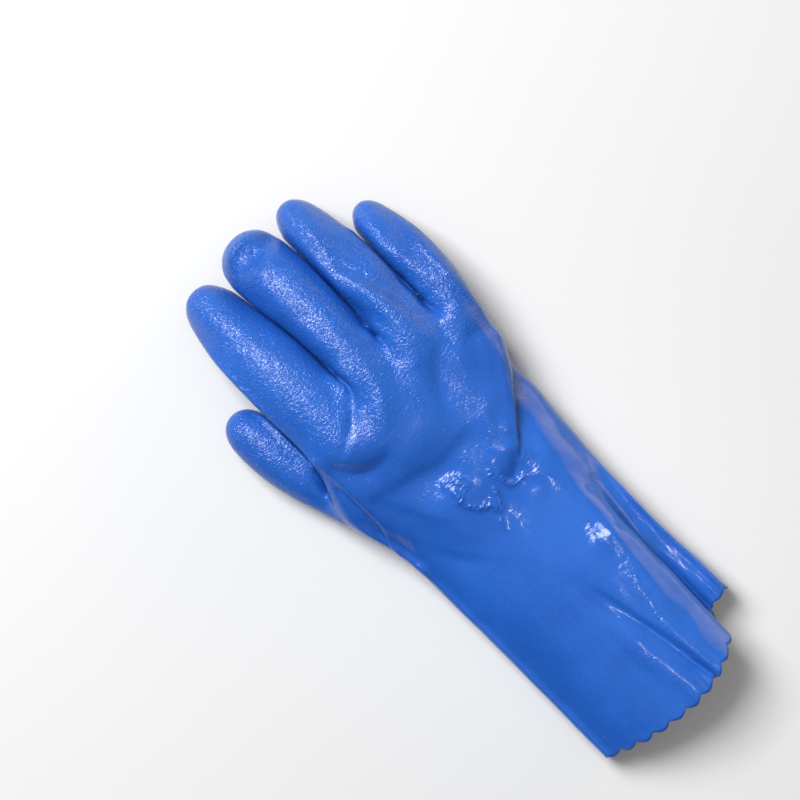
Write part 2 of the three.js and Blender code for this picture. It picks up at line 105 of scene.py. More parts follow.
# The smooth skin. Wet PVC flows over the former before it sets, so a dipped skin has no facets. The cage is
# smoothed twice, which gives the mesh that all the folds are then drawn in.
SMOOTHINGS = 2
cage = bpy.data.meshes.new("glove_cage")
skin.to_mesh(cage)
skin.free()
cage_object = bpy.data.objects.new("glove_cage", cage)
bpy.context.scene.collection.objects.link(cage_object)
smoothing = cage_object.modifiers.new("smoothing", "SUBSURF")
smoothing.levels = smoothing.render_levels = SMOOTHINGS
smoothed = cage_object.evaluated_get(bpy.context.evaluated_depsgraph_get())
glove_mesh = bpy.data.meshes.new_from_object(smoothed)
bpy.data.objects.remove(cage_object)
glove_mesh.name = "glove"
glove = bpy.data.objects.new("glove", glove_mesh)
bpy.context.scene.collection.objects.link(glove)

# The gaps. The fingers lie side by side with thin webs of skin drawn tight between their roots, and soft skin
# is drawn in at the overlap of the wrist and along the cuff's crest. Each is a line in plan, in millimetres.
OVERLAP_LINE = [(60, 29), (53.3, 19), (46.7, 9.8), (35, -3.5), (25, -16.4), (16.7, -22.7)]
# close: how far each side is drawn in, spread evenly along the path. edge: how far from the line the pull
# turns round. reach: how far from it the skin follows. left: the share by which the skin to its left follows.
PINCHES = {
    "index_gap": {
        "path": [(-13, 68), (-14.6, 80), (-15, 95), (-16.4, 110), (-19, 128), (-20.6, 140)],
        "close": (0, 0.75, 0.9, 0.65, 0.65, 0.7), "edge": 0.5, "reach": 7, "left": 1,
    },
    "middle_gap": {
        "path": [(14.2, 72), (14.8, 86), (15.6, 104), (15.9, 122), (15.6, 140)],
        "close": (0, 0.85, 0.95, 0.8, 0.8), "edge": 0.5, "reach": 7, "left": 1,
    },
    "ring_gap": {
        "path": [(43, 70), (43.1, 80), (43.2, 98), (43.5, 110), (44, 118)],
        "close": (0, 1, 1, 0.95, 1), "edge": 0.5, "reach": 7, "left": 1,
    },
    "index_web": {
        "path": [(-14.4, 80), (-13.4, 72), (-13, 66), (-15, 58)],
        "close": (0, 1.4, 1.5, 0.6), "edge": 2, "reach": 5, "left": 1,
    },
    "middle_web": {
        "path": [(14.3, 82), (14.2, 74), (15, 66), (16.5, 58)],
        "close": (0, 1.6, 1.7, 0.8), "edge": 2, "reach": 5, "left": 1,
    },
    "ring_web": {
        "path": [(43.1, 82), (43, 74), (42.6, 67), (43.5, 61)],
        "close": (0, 1.4, 1.5, 0.5), "edge": 2, "reach": 5, "left": 1,
    },
    "wrist_overlap": {
        "path": OVERLAP_LINE,
        "close": (3, 4.5, 4.5, 4, 3, 1), "edge": 4, "reach": 9, "left": 1,
    },
    "cuff_crest": {
        "path": [
            (43, -45), (39.5, -60), (37.5, -70), (36.4, -85),
            (36, -110), (35, -130), (34, -145), (33.3, -175),
        ],
        "close": (0, 0.5, 1.2, 2.2, 2.8, 2.8, 2.8, 2.8), "edge": 2.6, "reach": 7, "left": 0.8,
    },
    "thumb_edge": {
        "path": [(-51.6, 40), (-51.7, 24), (-52, 8), (-54, -2), (-56, -12)],
        "close": (0.5, 1.4, 1.4, 1, 0.3), "edge": 1.2, "reach": 4, "left": 1,
    },
    "cuff_edge": {
        "path": [(-54.5, -175), (-54.5, -60), (-55, -20)],
        "close": (2.4, 2.6, 1.5), "edge": 2.5, "reach": 6, "left": 0,
    },
    "index_edge": {
        "path": [(-54, 45), (-53.5, 90), (-52, 125), (-48, 145)],
        "close": (1, 2, 2, 0.5), "edge": 2.5, "reach": 5, "left": 0,
    },
}
LINE_STEPS = 40
END_FADE = 4  # mm over which a gap or a ledge fades past the ends of its line
FINGER_ROOTS = (58, 76)  # mm along the drawing, from the palm to the fingers
FILLED_OUT = 0.35  # mm by which a finger is fuller than the smoothed cage
INDEX_TIP = {"longer": 1.8, "along": (138, 152), "across": (-16, -24)}  # mm, and where it begins and is full
RESTING = (2, 6)  # mm: skin below the first height rests on the surface and isn't drawn in


def drawn_curve(path):
    """Points along a smooth line through those of the path."""
    corners = np.array([path[0], *path, path[-1]], dtype=float)
    share = np.linspace(0, 1, LINE_STEPS + 1) * (len(path) - 1)
    span = np.minimum(share.astype(int), len(path) - 2)
    t = (share - span)[:, None]
    a, b, c, d = (corners[span + k] for k in range(4))
    return 0.5 * (2 * b + (c - a) * t + (2 * a - 5 * b + 4 * c - d) * t**2 + (3 * b - a - 3 * c + d) * t**3)


def near_curve(plan, path):
    """For each point of the plan: its share of the path, how far it lies to the left of it and past its ends,
    and which way left is there."""
    curve = drawn_curve(path)
    nearest = np.full(len(plan), np.inf)
    along, across = np.zeros((2, len(plan)))
    left = np.zeros((len(plan), 2))
    for i in range(LINE_STEPS):
        step = curve[i + 1] - curve[i]
        offset = plan - curve[i]
        share = np.clip(offset @ step / (step @ step), 0, 1)
        distance = np.linalg.norm(offset - share[:, None] * step, axis=1)
        closer = distance < nearest
        nearest[closer] = distance[closer]
        along[closer] = (i + share[closer]) / LINE_STEPS
        left[closer] = np.array((-step[1], step[0])) / np.linalg.norm(step)
        across[closer] = np.sum(offset * left, axis=1)[closer]
    past = np.sqrt(np.maximum(nearest**2 - across**2, 0))
    return along, across, past, left


def spread_along(along, values):
    """The values of a row, spread evenly along its line."""
    return np.interp(along, np.linspace(0, 1, len(values)), values)


def smooth_share(low, high, value):
    share = np.clip((value - low) / (high - low), 0, 1)
    return share * share * (3 - 2 * share)


def plan_of(mesh):
    """The mesh's points and normals, and its points' places in the drawing, all in millimetres."""
    count = len(mesh.vertices)
    points = np.empty(count * 3)
    normals = np.empty(count * 3)
    mesh.vertices.foreach_get("co", points)
    mesh.vertex_normals.foreach_get("vector", normals)
    points = points.reshape(-1, 3) / MM
    return points, normals.reshape(-1, 3), points[:, :2] - DRAWN_AT


def put_points(mesh, points):
    """Puts the points back into the mesh, none of them below the surface that the glove lies on."""
    points[:, 2] = np.maximum(points[:, 2], 0)
    mesh.vertices.foreach_set("co", (points * MM).ravel())
    mesh.update()


points, normals, plan = plan_of(glove_mesh)
points += normals * (FILLED_OUT * smooth_share(*FINGER_ROOTS, plan[:, 1]))[:, None]
on_index_tip = smooth_share(*INDEX_TIP["along"], plan[:, 1]) * smooth_share(*INDEX_TIP["across"], plan[:, 0])
points[:, 1] += INDEX_TIP["longer"] * on_index_tip
for pinch in PINCHES.values():
    along, across, past, left = near_curve(plan, pinch["path"])
    pull = spread_along(along, pinch["close"])
    pull *= np.exp(-((across / pinch["reach"]) ** 2) - (past / END_FADE) ** 2)
    pull *= np.tanh(across / pinch["edge"]) * np.where(across > 0, pinch["left"], 1)
    pull *= smooth_share(*RESTING, points[:, 2])
    moved = -left * pull[:, None]
    points[:, :2] += moved
    plan += moved

# The fingers' backs. Each finger curls, so the skin on its back swells to a soft ridge and a blunt tip, and
# sinks where it falls to the next finger.
FINGER_FOLDS = {
    "index_tip": {
        "path": [(-35, 122), (-35, 138), (-35.5, 151)],
        "wide": 11, "rise": (1, 4.5, 5), "flat": True,
    },
    "middle_tip": {
        "path": [(0, 122), (0, 139), (-1.5, 152)],
        "wide": 12.5, "rise": (1, 4.5, 5), "flat": True,
    },
    "ring_tip": {"path": [(26, 120), (26, 136), (27, 149)], "wide": 10, "rise": (1, 4, 4), "flat": True},
    "little_tip": {
        "path": [(51, 100), (52, 113), (53.5, 122)],
        "wide": 7.5, "rise": (1, 3, 3), "flat": True,
    },
    "index_shoulder": {
        "path": [(-51, 140), (-53, 120), (-53.5, 90), (-53.5, 50)],
        "wide": 2.6, "rise": (1, 4, 3),
    },
    "middle_left": {"path": [(-9.5, 138), (-9, 100), (-8.5, 66)], "wide": 4, "rise": (0.6, 1.6, 1)},
    "middle_tendon": {
        "path": [(-1, 66), (-4.5, 53), (-13, 43), (-24, 37)],
        "wide": 3.6, "rise": (0, 0.6, 0.2),
    },
    "middle_crease": {"path": [(9.5, 117), (8, 110), (9.5, 96)], "wide": 1.2, "rise": (0.3, -0.6, -0.2)},
    "ring_back": {
        "path": [(23, 147), (24.5, 127), (19.6, 112), (23, 96), (27, 78), (28.5, 60)],
        "wide": 5.5, "rise": (0.6, 1.6, 2, 1.6, 0.6), "flat": True,
    },
    "ring_left": {
        "path": [(19.5, 146), (18.5, 126), (18, 108), (18.5, 96)],
        "wide": 2.8, "rise": (1, 3.2, 3, 1),
    },
    "ring_side": {"path": [(18, 97), (16, 86), (15, 77)], "wide": 2.4, "rise": (-0.5, -2.2, -1)},
    "ring_twist": {
        "path": [(23.5, 115), (28, 104), (32, 92), (35.5, 78)],
        "wide": 2.8, "rise": (-0.6, -1.9, -1),
    },
    "ring_outer": {"path": [(30, 122), (33.5, 112), (35, 102)], "wide": 3.5, "rise": (-0.6, -1, -0.6)},
    "ring_fall": {"path": [(36, 90), (39.5, 72), (40, 46)], "wide": 5, "rise": (-1, -2, -0.8)},
    "little_left": {"path": [(47.5, 120), (47, 106), (46.5, 92)], "wide": 3, "rise": (1, 2.4, 1)},
    "little_back": {
        "path": [(49, 119), (48, 96), (48, 76)],
        "wide": 5.5, "rise": (1, 2.4, 0.6), "flat": True,
    },
    "little_fall": {"path": [(58.5, 118), (60, 95), (60, 74)], "wide": 6, "rise": (-0.6, -1.8, -0.6)},
}


def fold_heights(folds):
    """How high a table of folds lifts each point of the skin. path: the fold's line in plan, in millimetres.
    wide: half its width. rise: heights spread evenly along the path, below zero for a groove. A flat fold
    keeps its height over most of its width."""
    heights = np.zeros(len(plan))
    for fold in folds.values():
        along, across, past = near_curve(plan, fold["path"])[:3]
        distance = (across**2 + past**2) / fold["wide"] ** 2
        if "flat" in fold:
            distance = distance**2
        heights += spread_along(along, fold["rise"]) * np.exp(-distance)
    return heights


lift = fold_heights(FINGER_FOLDS)

# The middle fingertip. Nothing fills it, so the soft end of the finger is pushed in to a small bowl with a
# raised rim in front of it and a low one behind.
TIP_FOLDS = {
    "tip_dent": {"path": [(-7, 144.2), (0, 143.8), (8, 144.4)], "wide": 5.2, "rise": (-3, -6.2, -5)},
    "tip_rim": {
        "path": [(-14.5, 145), (-11, 151.5), (-3, 154), (5, 153)],
        "wide": 2.2, "rise": (0.8, 2.5, 3, 0.8),
    },
    "tip_rim_back": {
        "path": [(-7, 138.5), (1, 137.8), (9, 138.6), (13, 141)],
        "wide": 2.5, "rise": (0.2, 0.8, 1, 0.4),
    },
}
lift += fold_heights(TIP_FOLDS)

# The webs. Between the roots of the fingers the skin dips into short, deep creases with soft lips round them,
# and swells over the knuckles behind.
WEB_FOLDS = {
    "index_web": {
        "path": [(-14.3, 80), (-13.4, 72), (-12.8, 67), (-14, 62), (-17, 58.5)],
        "wide": 1.3, "rise": (-5, -8, -0.6),
    },
    "index_web_fill": {"path": [(-14, 72), (-15, 64), (-20, 58)], "wide": 5, "rise": (3.5, 2.4, 0.4)},
    "index_curl": {
        "path": [(-16, 61), (-19.8, 56), (-26.4, 49.9), (-38.5, 43.8)],
        "wide": 2.3, "rise": (-1.6, -2, -1.6, -0.5),
    },
    "index_lip": {
        "path": [(-13.5, 60), (-17.5, 54), (-25, 47), (-38, 40.5)],
        "wide": 1.6, "rise": (0.3, 0.45, 0.4),
    },
    "middle_web": {
        "path": [(14.2, 84), (14.2, 74.5), (15, 70), (17, 64)],
        "wide": 1.3, "rise": (-5, -7, -0.3),
    },
    "middle_web_fill": {"path": [(13.5, 75), (15, 66), (16, 60)], "wide": 5, "rise": (4, 2, 0)},
    "middle_web_lip": {"path": [(10.5, 53.5), (14, 50), (20, 50.5)], "wide": 1.7, "rise": (0.4, 1, 0.4)},
    "ring_web": {"path": [(43.3, 86), (43, 72), (42.6, 66), (45, 58)], "wide": 1.4, "rise": (-5, -8, -1.2)},
    "ring_web_fill": {"path": [(42.5, 72), (43, 64), (43, 58)], "wide": 6, "rise": (3.5, 3.2, 1.5)},
    "ring_pocket": {"path": [(44.5, 71), (45, 64), (47, 57.5)], "wide": 3, "rise": (-1, -2, -1)},
    "little_lip": {"path": [(45, 56.5), (47.6, 52.6), (52, 48.8)], "wide": 1.6, "rise": (0.3, 0.7, 0.3)},
    "knuckle_swell": {"path": [(4, 60), (22, 59), (42, 55)], "wide": 11, "rise": (0.5, 1.2, 1.6)},
}
lift += fold_heights(WEB_FOLDS)

# The back of the hand. It is loose, empty skin that sinks on the outer side and stands up a little in the
# middle, with a crease where the thumb's root joins it.
BACK_FOLDS = {
    "back_fill": {"path": [(-18, 23), (0, 22), (14, 25)], "wide": 12, "rise": (1.4, 2, 1.2)},
    "back_middle": {"path": [(22, 26), (34, 29), (44, 38)], "wide": 9, "rise": (-0.5, -0.7, -0.5)},
    "back_outer": {"path": [(18, 2), (30, 8), (38, 16)], "wide": 13, "rise": (-1.8, -2.4, -1.5)},
    "back_low": {"path": [(17, 8.5), (26, 8.5), (34, 9)], "wide": 6, "rise": (0.5, 0.6, 0.4)},
    "thumb_crease": {
        "path": [(-52.7, 33), (-53, 10), (-55, 0), (-57, -12)],
        "wide": 1.3, "rise": (-1.4, -1.2, -0.2),
    },
}
lift += fold_heights(BACK_FOLDS)

# The wrist. Here the skin is folded most: a soft hollow, a bulge, and short crumpled folds that run down from
# them to the cuff.
WRIST_FOLDS = {
    "wrist_hollow": {"path": [(-26, -3), (-12, 0)], "wide": 7, "rise": (-1, -1)},
    "wrist_bulge": {"path": [(-12, -13), (-9, -15)], "wide": 7, "rise": (1.5, 1.3)},
    "wrist_fold_upper": {
        "path": [(-16, -2), (-11, -3), (-8, -5), (-6.5, -11)],
        "wide": 1.7, "rise": (0.4, 0.6, 0.4),
    },
    "wrist_fold_side": {
        "path": [(-14, -8), (-13, -12), (-15.5, -15)],
        "wide": 1.7, "rise": (0.7, 0.9, 0.5),
    },
    "wrist_fold_lower": {
        "path": [(-13, -19), (-9, -24), (-5, -26), (-3.8, -31)],
        "wide": 1.6, "rise": (0.8, 1, 0.6),
    },
    "wrist_fold_inner": {"path": [(2, -22), (0, -26), (-1.5, -31)], "wide": 1.5, "rise": (0.7, 0.9, 0.5)},
    "wrist_fold_last": {"path": [(-6.5, -34), (-9, -39)], "wide": 1.5, "rise": (0.6, 0.5, 0.3)},
    "wrist_tuck": {
        "path": [(10, -12), (8.3, -21), (10, -26.5), (17, -27.5)],
        "wide": 1.7, "rise": (0.5, 1, 0.5),
    },
    "wrist_tuck_end": {"path": [(17, -23), (14, -25), (12.5, -23)], "wide": 2.2, "rise": (-1, -1.4, -0.6)},
}
lift += fold_heights(WRIST_FOLDS)

# The cuff. A wide tube that lies a little flattened, with square shoulders at its sides, a long ridge, a low
# roll beside it, one crease that runs to the rim, and small raised patches on the ridge.
CUFF_FOLDS = {
    "inner_shoulder": {
        "path": [(-54.5, -168), (-54.5, -115), (-54.5, -70), (-54.5, -25)],
        "wide": 3.2, "rise": (4.5, 6, 6, 3),
    },
    "cuff_start": {"path": [(24.5, -77.8), (28, -78)], "wide": 5.5, "rise": (1.8, 2.1)},
    "cuff_climb": {"path": [(8, -88), (8, -175)], "wide": 30, "rise": (2.2, 2.2)},
    "cuff_tilt": {
        "path": [(12, -66), (10, -84), (10, -103), (9, -120), (7, -137), (7, -154), (8, -172)],
        "wide": 12, "rise": (0.6, 1.4, 1.8, 0.9, 0.3, 0.4, 1.2),
    },
    "cuff_crown": {
        "path": [(23.5, -85), (21.5, -94), (18.5, -106), (15, -122), (14.8, -138), (16, -162)],
        "wide": 15, "rise": (0.8, 1.4, 1.4),
    },
    "cuff_ridge": {
        "path": [(17.5, -110), (15, -122), (14.5, -131), (15, -142), (16.3, -162)],
        "wide": 3.5, "rise": (0.1, 0.4, 0.5, 0.5, 0.5),
    },
    "crown_left": {
        "path": [(12.5, -98), (12.5, -106), (11.5, -113), (11, -120)],
        "wide": 4, "rise": (-0.2, -0.5, -0.45, -0.1),
    },
    "crown_line": {
        "path": [(21, -97), (18.7, -105), (17, -113), (15.2, -122)],
        "wide": 2.5, "rise": (0.1, 0.25, 0.25, 0.1),
    },
    "crown_lift": {
        "path": [(17, -112), (15, -124), (14.3, -133), (14.8, -142), (16.2, -151), (17.8, -166)],
        "wide": 12, "rise": (0, 0.3, 0.8, 1.5, 1.7, 1.9),
    },
    "patch_left": {"path": [(20.3, -82), (20, -92)], "wide": 3, "rise": (0.3, 0.2)},
    "patch_right": {"path": [(27.6, -80), (27.2, -88), (26.5, -96)], "wide": 3, "rise": (0.3, 0.6, 0.3)},
    "patch_third_left": {
        "path": [(16, -99), (15.5, -103), (15, -107), (14.5, -112)],
        "wide": 2, "rise": (0, 0.25, 0.25, 0),
    },
    "patch_third": {
        "path": [(18, -96), (17.8, -99.5), (18, -104), (18, -108)],
        "wide": 2.5, "rise": (0, 0.28, 0.05, -0.1),
    },
    "cuff_flank": {
        "path": [(36, -48), (33, -70), (31, -90), (30.5, -110), (29, -135), (28, -170)],
        "wide": 5.5, "rise": (-0.8, -1.6, -2.4, -2.4, -2, -2),
    },
    "roll_valley": {"path": [(39.5, -88), (39, -110), (38, -142)], "wide": 3, "rise": (1, 2, 2)},
    "roll_shoulder": {"path": [(52, -20), (50.5, -60), (50.5, -140)], "wide": 3.2, "rise": (1, 4, 4)},
    "cuff_crease": {
        "path": [(0.5, -90), (4.5, -110), (8, -130), (14, -168)],
        "wide": 1.5, "rise": (-0.2, -1.5, -2.2, -2.8),
    },
    "cuff_crease_lip": {
        "path": [(5, -96), (8, -112), (12, -132), (18.5, -168)],
        "wide": 2.2, "rise": (0.2, 0.8, 1.2),
    },
    "crease_left": {
        "path": [(-3, -84), (-3, -100), (-2, -116), (-1, -130), (0, -145), (1, -165)],
        "wide": 5, "rise": (-0.9, -0.6, 0.7, 0.9, 0.8, 1.6),
    },
    "cuff_shallow": {"path": [(-5, -118), (-4, -135), (-3, -152)], "wide": 6, "rise": (0.1, 0.6, 0.3)},
}
lift += fold_heights(CUFF_FOLDS)

# The ridge's flank, the roll, the outer wrist and the thumb's side, where the skin falls in long soft curves.
# The rises are not set by hand: a least-squares solver worked them out to suit the real glove's shading.
# Some of those of the roll, the thumb and little_shoulder were then changed.
FLANK_LINE = [
    (32, -55), (30, -72), (28.5, -86), (27, -102), (26, -120), (25.2, -134), (24.5, -150), (24, -166),
]
SIDE_LINE = [(47, 2), (45.6, -15), (43.8, -33), (41.6, -50)]
ROLL_LINE = [(45, -36), (45, -62), (45, -79), (45.2, -97.5), (45.2, -117.5), (45, -140)]
THUMB_LINE = [(-64.5, 26), (-63.5, 16), (-61, 6), (-58.5, -4), (-56.5, -14), (-55, -26)]


def beside(path, across):
    """The same path, so many millimetres further across the glove."""
    return [(point_across + across, point_along) for point_across, point_along in path]


FITTED_FOLDS = {
    "flank_crown": {
        "path": [
            (26.5, -55), (25.4, -72), (24, -86), (19.5, -102),
            (15.5, -120), (14.3, -132), (16.2, -150), (17.8, -166),
        ],
        "wide": 4, "rise": (-0.2, -0.3, 0.8, -0.5, -0.8, -0.9, -1.9, -3.5),
    },
    "crown_fine": {
        "path": [(24.6, -80), (24.2, -86), (23, -92), (20.5, -98), (19, -104), (18, -110)],
        "wide": 3, "rise": (-0.3, -0.1, -0.1, 0.5, 0.6, 0.5),
    },
    "flank_left": {
        "path": beside(FLANK_LINE, -3.5),
        "wide": 4, "rise": (-0.1, -0.1, -0.2, 0.4, 0.2, -2.1, -0.8, -0.1),
    },
    "flank_inner": {"path": FLANK_LINE, "wide": 4, "rise": (0.3, 0, 1.2, 0.7, -0.5, -1.1, -1.9, -1.3)},
    "flank_middle": {
        "path": [
            (36, -55), (34, -72), (32, -86), (31, -102),
            (30.5, -120), (29.7, -134), (28.8, -150), (28, -166),
        ],
        "wide": 4, "rise": (-1.5, -0.7, -0.1, 0.1, -0.9, -2.7, -1.9, -1.5),
    },
    "flank_outer": {
        "path": [
            (40, -55), (37, -72), (35.5, -86), (35, -102),
            (34.8, -120), (34.2, -134), (33, -150), (32, -166),
        ],
        "wide": 3.5, "rise": (-0.9, -0.3, 0.1, 0, -1.5, -3.1, -4.5, -3.4),
    },
    "side_inner": {"path": beside(SIDE_LINE, -10), "wide": 4.5, "rise": (-0.4, 0.4, -0.6, -0.5)},
    "side_middle": {"path": beside(SIDE_LINE, -5), "wide": 4.5, "rise": (0, -0.5, -1.3, -1.4)},
    "side_outer": {"path": SIDE_LINE, "wide": 4.5, "rise": (-1, -1.8, -0.5, 0.4)},
    "roll_left": {"path": beside(ROLL_LINE, -4), "wide": 3, "rise": (0, -0.1, -0.8, -1.5, -1.1, -0.2)},
    "roll_top": {"path": ROLL_LINE, "wide": 3, "rise": (0, 0.8, -0.3, -0.8, -3, -3.6)},
    "roll_right": {"path": beside(ROLL_LINE, 3.5), "wide": 2.5, "rise": (0, 3.2, 5, 3.3, 0, -1.8)},
    "overlap_shoulder": {
        "path": [(58, 30.5), (51.3, 20.5), (44.7, 11.3), (38.8, 3.4), (33, -2), (27.2, -9.9)],
        "wide": 3.5, "rise": (1.8, 3.1, 1.8, 0.8, -0.5, -1.1),
    },
    "overlap_inner": {
        "path": [(53, 33.8), (46.4, 23.9), (39.9, 14.8), (34.3, 7.4), (28.5, 1.9), (22.4, -6.3)],
        "wide": 5, "rise": (0.4, -0.3, -0.5, -1, -1.7, -2.1),
    },
    "overlap_back": {
        "path": [(47.2, 37.7), (40.6, 27.9), (34.2, 19), (29, 12), (23.2, 6.5), (16.7, -2.2)],
        "wide": 6, "rise": (-2.4, -1.7, -0.8, -0.3, 0.2, 0.3),
    },
    "little_shoulder": {
        "path": [(62.5, 96), (62.5, 62), (61.5, 46), (59, 32)],
        "wide": 3, "rise": (0.9, 2.7, 4.8, 3.2),
    },
    "little_side": {
        "path": [(57.5, 72), (57.5, 60), (56, 46), (53, 34)],
        "wide": 4, "rise": (0.6, 0.7, 1.4, 0.4),
    },
    "middle_web_root": {
        "path": [(12.5, 67), (12.5, 61), (12, 55), (12.5, 49)],
        "wide": 3, "rise": (-0.8, 0.7, -0.2, -0.4),
    },
    "wrist_below": {
        "path": [(-12, -38), (-2, -42), (10, -44), (22, -42), (30, -40)],
        "wide": 8, "rise": (-0.6, -0.2, -0.1, -0.5, -1.1),
    },
    "thumb_shoulder": {"path": THUMB_LINE, "wide": 4.5, "rise": (1.5, 5, 6.5, 6.5, 6, 2.5)},
    "thumb_side": {"path": beside(THUMB_LINE, 5), "wide": 4, "rise": (0.5, 0, -1.5, -2.5, -2.8, 0)},
}
lift += fold_heights(FITTED_FOLDS)

# The ledges. Where one stretch of slack skin laps over the next, it drops from one level to a lower one, and
# the edge of the higher one may swell to a soft roll. The low side is to the left of the path.
ROLL_BACK = 3  # edges from the line to the top of the roll
# drop: heights spread evenly along the path. edge: half width of the drop. reach: how far the low side stays
# low. roll: height of the roll, as a share of the drop.
LEDGES = {
    "wrist_overlap": {
        "path": OVERLAP_LINE,
        "drop": (-0.8, -3, -4.2, -4.6, -2.4), "edge": 2.5, "reach": 14, "roll": 0,
    },
    "index_mound": {
        "path": [(-22, 30), (-28.8, 28.8), (-38, 31.7), (-44.7, 42)],
        "drop": (0.8, 3.2, 2.6), "edge": 3, "reach": 16, "roll": 0.2,
    },
    "wrist_rise": {
        "path": [(14, 9), (0, 7.5), (-8, 7.5), (-20, 11), (-42, 17)],
        "drop": (0.8, 1.5, 0.8), "edge": 3.5, "reach": 50, "roll": 0,
    },
    "wrist_slant": {
        "path": [(-24, -22), (-30, -12), (-36, 0), (-43, 14)],
        "drop": (0.2, 1.4, 0.8), "edge": 3, "reach": 10, "roll": 0,
    },
    "cuff_slant": {
        "path": [(-18, -52), (-27, -42), (-35, -33), (-44, -14)],
        "drop": (0.2, 1.4, 0.4), "edge": 3, "reach": 10, "roll": 0,
    },
    "back_hollow": {
        "path": [(36, 53), (24, 43), (15, 33), (9, 22)],
        "drop": (0.6, 1, 0.4), "edge": 3, "reach": 60, "roll": 0.1,
    },
    "wrist_lift": {
        "path": [(32, -39), (20, -39), (0, -39), (-10, -39)],
        "drop": (-0.3, -0.5, -0.5, -0.2), "edge": 6, "reach": 60, "roll": 0,
    },
}
for ledge in LEDGES.values():
    along, across, past = near_curve(plan, ledge["path"])[:3]
    low_side = np.exp(-np.maximum(across, 0) / ledge["reach"])
    low_side *= smooth_share(-ledge["edge"], ledge["edge"], across)
    roll = ledge["roll"] * np.exp(-((across / ledge["edge"] / ROLL_BACK + 1) ** 2))
    lift += spread_along(along, ledge["drop"]) * (roll - low_side) * np.exp(-((past / END_FADE) ** 2))

# The folds are raised on the upper side, which is all that a glove lying on its palm shows of them.
LOOKS_UP = (0.02, 0.45)  # upward part of the skin's normal, from where folds begin to where they are full
facing_up = smooth_share(*LOOKS_UP, normals[:, 2])
points[:, 2] += lift * facing_up
put_points(glove_mesh, points)

# The crumples. In the sharpest folds the skin is crumpled finely enough to glitter. strong: how much, spread
# evenly along the path. The material reads it from the mesh and turns it into relief.
CRUMPLES = {
    "wrist_hook": {"path": [(-13.5, -3), (-9.5, -4.5), (-8, -9.5)], "wide": 3, "strong": (1, 1.1, 1)},
    "wrist_middle": {"path": [(-13.5, -8), (-14, -14)], "wide": 2.4, "strong": (1, 0.9)},
    "wrist_side": {
        "path": [(-14, -9), (-14.5, -14), (-12.5, -19.5), (-9.2, -23.8), (-4.5, -26), (-3.8, -30)],
        "wide": 1.6, "strong": (1, 0.9, 0.7, 0.9, 1),
    },
    "wrist_inner": {"path": [(1.2, -23), (-1.2, -30)], "wide": 1.1, "strong": (0.8, 0.6)},
    "wrist_last": {"path": [(-7, -35), (-8.8, -38.8)], "wide": 1.2, "strong": (0.8, 0.6)},
    "wrist_upper": {"path": [(6.7, -13.3), (5.4, -15.8)], "wide": 1.1, "strong": (0.9, 0.9)},
    "wrist_tuck": {
        "path": [(10, -16), (8.3, -23.5), (10.8, -26.8), (16.7, -27.3)],
        "wide": 1.4, "strong": (0.5, 0.9, 0.9),
    },
    "overlap_foot": {"path": [(26, -20), (22, -30)], "wide": 3, "strong": (0.5, 0.5)},
    "cuff_patch": {"path": [(22, -69), (22, -78)], "wide": 2, "strong": (0.4, 0.4)},
    "cuff_patch_low": {
        "path": [(24, -83), (23.5, -90), (21.6, -94), (20, -98)],
        "wide": 4.2, "strong": (0.3, 0.3, 0.35, 0.35),
    },
    "cuff_line": {
        "path": [(19.5, -103), (17.5, -112), (15, -122), (14.5, -131), (15, -142), (16.3, -156)],
        "wide": 2, "strong": (0.2, 0.3, 0.4, 0.35, 0.25),
    },
    "cuff_faint": {"path": [(-6, -124), (-4, -136), (-2, -150)], "wide": 3, "strong": (0.3, 0.5, 0.3)},
    "roll": {
        "path": [(45, -70), (44, -85), (47.5, -100), (48, -138)],
        "wide": 3, "strong": (0.35, 0.3, 0.2),
    },
}
crumpled = np.zeros(len(points))
for crumple in CRUMPLES.values():
    along, across, past = near_curve(plan, crumple["path"])[:3]
    shape = np.exp(-(across**2 + past**2) / crumple["wide"] ** 2)
    crumpled = np.maximum(crumpled, spread_along(along, crumple["strong"]) * shape)
crumpled *= facing_up
glove_mesh.attributes.new("crumpled", "FLOAT", "POINT").data.foreach_set("value", crumpled)

# The skin's own unevenness. A thick dipped skin never sets quite even, so soft lumps lie all over
# its upper side.
LUMPS = {"size": 14, "rise": 0.3, "looks_up": (-0.2, 0.3)}  # mm, and the upward part of the normal
points, normals, plan = plan_of(glove_mesh)
lumps = np.array([noise.noise(Vector(point) / LUMPS["size"]) for point in points])
points += normals * (LUMPS["rise"] * lumps * smooth_share(*LUMPS["looks_up"], normals[:, 2]))[:, None]
put_points(glove_mesh, points)

# The pinked rim. The mouth is cut with shaped blades into rounded teeth that run all the way round. The rim
# is walked round once for the teeth's shape, and the rows of points behind it follow it less and less.
TEETH = 27
TOOTH_DEEP = 2.6  # mm
TOOTH_BAND = 4.5  # mm over which the teeth fade into the skin
TOOTH_ROWS = 4  # rows of points behind the rim that follow it
TOOTH_MIDDLE = 0.6  # share of a tooth's depth that lies inside the plain line of the cut
rim = bmesh.new()
rim.from_mesh(glove_mesh)
walk = [next(vert for vert in rim.verts if vert.is_boundary)]
while True:
    ahead = [
        edge.other_vert(walk[-1])
        for edge in walk[-1].link_edges
        if edge.is_boundary and edge.other_vert(walk[-1]) not in walk[-2:]
    ]
    if walk[0] in ahead and len(walk) > 2:
        break
    walk.append(ahead[0])
reach = np.cumsum([0, *((a.co - b.co).length for a, b in zip(walk, walk[1:] + walk[:1]))])
wave = np.abs(np.sin(np.pi * TEETH * reach[:-1] / reach[-1]))
heights = {vert.index: height for vert, height in zip(walk, wave)}
inner_row = walk
passed = set(walk)
